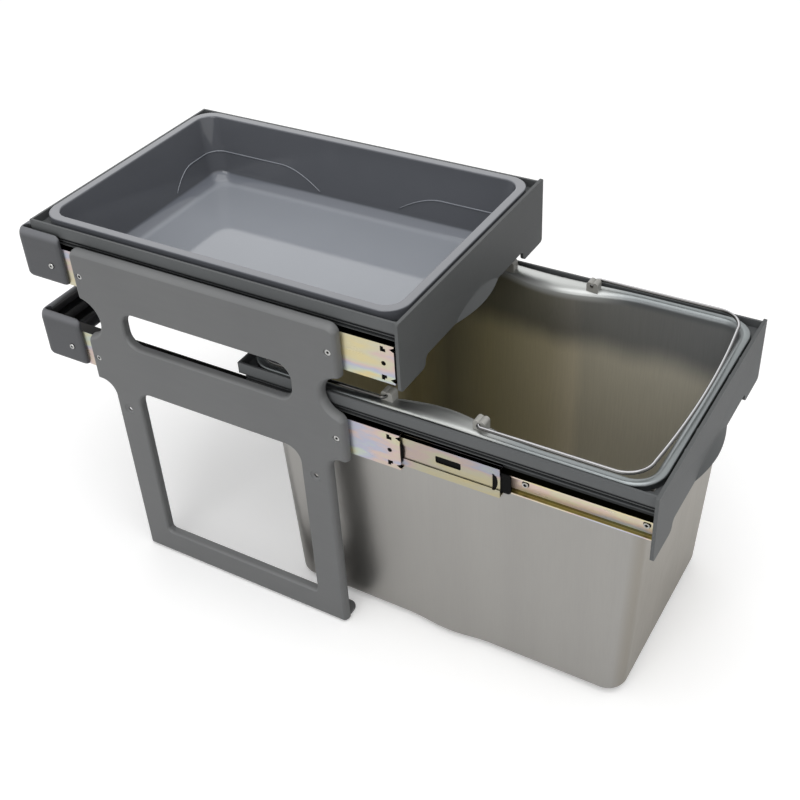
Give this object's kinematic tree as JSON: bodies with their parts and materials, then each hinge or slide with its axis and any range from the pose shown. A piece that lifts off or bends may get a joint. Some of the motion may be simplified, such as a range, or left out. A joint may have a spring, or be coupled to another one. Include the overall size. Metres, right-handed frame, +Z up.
{
  "type": "pull out bin frame",
  "caption": "Pull-out kitchen bin frame with an upper tray drawer and a lower bin drawer on telescopic ball slides between slotted side plates.",
  "frame": {"origin": "middle of the unit's footprint, on the floor under it, with the lower drawer at its rest position", "axes": "+X across the width to the right seen from the front, -Y the way the drawers pull out, +Z up"},
  "size_m": [0.264, 0.5884, 0.344],
  "materials": {
    "side_plate_steel": "satin grey powder coat on pressed sheet steel",
    "crossbar_plastic": "fine-grained grey moulding",
    "drawer_plastic": "fine-grained grey moulding",
    "tray_plastic": "smooth glossy grey moulding",
    "zinc_steel": "bright zinc plate with a pale yellow tint",
    "black_plastic": "black moulding",
    "cage_plastic": "dark greased retainer",
    "ball_steel": "polished bearing balls",
    "screw_steel": "bright plated",
    "bin_steel": "fine vertical grain, satin",
    "ring_chrome": "bright chrome wire",
    "clip_plastic": "light grey moulding"
  },
  "bodies": {
    "root": {"side_plate_left": "side_plate_steel", "side_plate_right": "side_plate_steel", "rear_crossbar_upper": "crossbar_plastic", "rear_crossbar_lower": "crossbar_plastic", "side_plate_screws": "screw_steel", "crossbar_screws": "screw_steel", "outer_bumpers_upper": "black_plastic", "outer_bumpers_lower": "black_plastic", "slide_outer_upper_left": "zinc_steel", "slide_outer_upper_right": "zinc_steel", "slide_outer_lower_left": "zinc_steel", "slide_outer_lower_right": "zinc_steel"},
    "upper_drawer": {"drawer_frame_upper": "drawer_plastic", "drawer_front_upper": "drawer_plastic", "slide_screws_upper": "zinc_steel", "slide_inner_upper_left": "zinc_steel", "slide_inner_upper_right": "zinc_steel"},
    "upper_middle": {"slide_middle_upper_left": "zinc_steel", "slide_middle_upper_right": "zinc_steel", "middle_bumpers_upper": "black_plastic"},
    "upper_outer_cages": {"outer_cage_upper_left": "cage_plastic", "outer_cage_upper_right": "cage_plastic", "outer_balls_upper": "ball_steel"},
    "upper_inner_cages": {"inner_cage_upper_left": "cage_plastic", "inner_cage_upper_right": "cage_plastic", "inner_balls_upper": "ball_steel"},
    "lower_drawer": {"drawer_frame_lower": "drawer_plastic", "drawer_front_lower": "drawer_plastic", "slide_screws_lower": "zinc_steel", "slide_inner_lower_left": "zinc_steel", "slide_inner_lower_right": "zinc_steel"},
    "lower_middle": {"slide_middle_lower_left": "zinc_steel", "slide_middle_lower_right": "zinc_steel", "middle_bumpers_lower": "black_plastic"},
    "lower_outer_cages": {"outer_cage_lower_left": "cage_plastic", "outer_cage_lower_right": "cage_plastic", "outer_balls_lower": "ball_steel"},
    "lower_inner_cages": {"inner_cage_lower_left": "cage_plastic", "inner_cage_lower_right": "cage_plastic", "inner_balls_lower": "ball_steel"},
    "tray": {"tray": "tray_plastic"},
    "bin": {"bin": "bin_steel", "bin_rim": "bin_steel", "ring_clips_front": "clip_plastic", "ring_clips_rear": "clip_plastic"},
    "bag_ring_front": {"bag_ring_front": "ring_chrome"},
    "bag_ring_rear": {"bag_ring_rear": "ring_chrome"}
  },
  "joints": [
    {"name": "upper_drawer_slide", "type": "slide", "parent": "root", "child": "upper_drawer", "axis": [0, 1, 0], "range_m": [-0.35, 0]},
    {"name": "upper_middle_slide", "type": "slide", "parent": "root", "child": "upper_middle", "axis": [0, 1, 0], "range_m": [-0.175, 0]},
    {"name": "upper_outer_cages_slide", "type": "slide", "parent": "root", "child": "upper_outer_cages", "axis": [0, 1, 0], "range_m": [-0.0875, 0]},
    {"name": "upper_inner_cages_slide", "type": "slide", "parent": "root", "child": "upper_inner_cages", "axis": [0, 1, 0], "range_m": [-0.2625, 0]},
    {"name": "lower_drawer_slide", "type": "slide", "parent": "root", "child": "lower_drawer", "axis": [0, -1, 0], "range_m": [-0.2046, 0.1454]},
    {"name": "lower_middle_slide", "type": "slide", "parent": "root", "child": "lower_middle", "axis": [0, -1, 0], "range_m": [-0.1023, 0.0727]},
    {"name": "lower_outer_cages_slide", "type": "slide", "parent": "root", "child": "lower_outer_cages", "axis": [0, -1, 0], "range_m": [-0.05115, 0.03635]},
    {"name": "lower_inner_cages_slide", "type": "slide", "parent": "root", "child": "lower_inner_cages", "axis": [0, -1, 0], "range_m": [-0.15345, 0.10905]},
    {"name": "tray_lift", "type": "slide", "parent": "upper_drawer", "child": "tray", "axis": [0, 0, 1], "range_m": [0, 0.1]},
    {"name": "bin_lift", "type": "slide", "parent": "lower_drawer", "child": "bin", "axis": [0, 0, 1], "range_m": [0, 0.008]},
    {"name": "front_ring_pivot", "type": "hinge", "parent": "bin", "child": "bag_ring_front", "pos_m": [0, -0.1418, 0.26295], "axis": [-1, 0, 0], "range_deg": [0, 90]},
    {"name": "rear_ring_pivot", "type": "hinge", "parent": "bin", "child": "bag_ring_rear", "pos_m": [0, -0.0618, 0.26295], "axis": [1, 0, 0], "range_deg": [0, 2]}
  ],
  "couplings": [
    {"joint": "upper_middle_slide", "follows": "upper_drawer_slide", "ratio": 0.5},
    {"joint": "upper_outer_cages_slide", "follows": "upper_drawer_slide", "ratio": 0.25},
    {"joint": "upper_inner_cages_slide", "follows": "upper_drawer_slide", "ratio": 0.75},
    {"joint": "lower_middle_slide", "follows": "lower_drawer_slide", "ratio": 0.5},
    {"joint": "lower_outer_cages_slide", "follows": "lower_drawer_slide", "ratio": 0.25},
    {"joint": "lower_inner_cages_slide", "follows": "lower_drawer_slide", "ratio": 0.75}
  ]
}
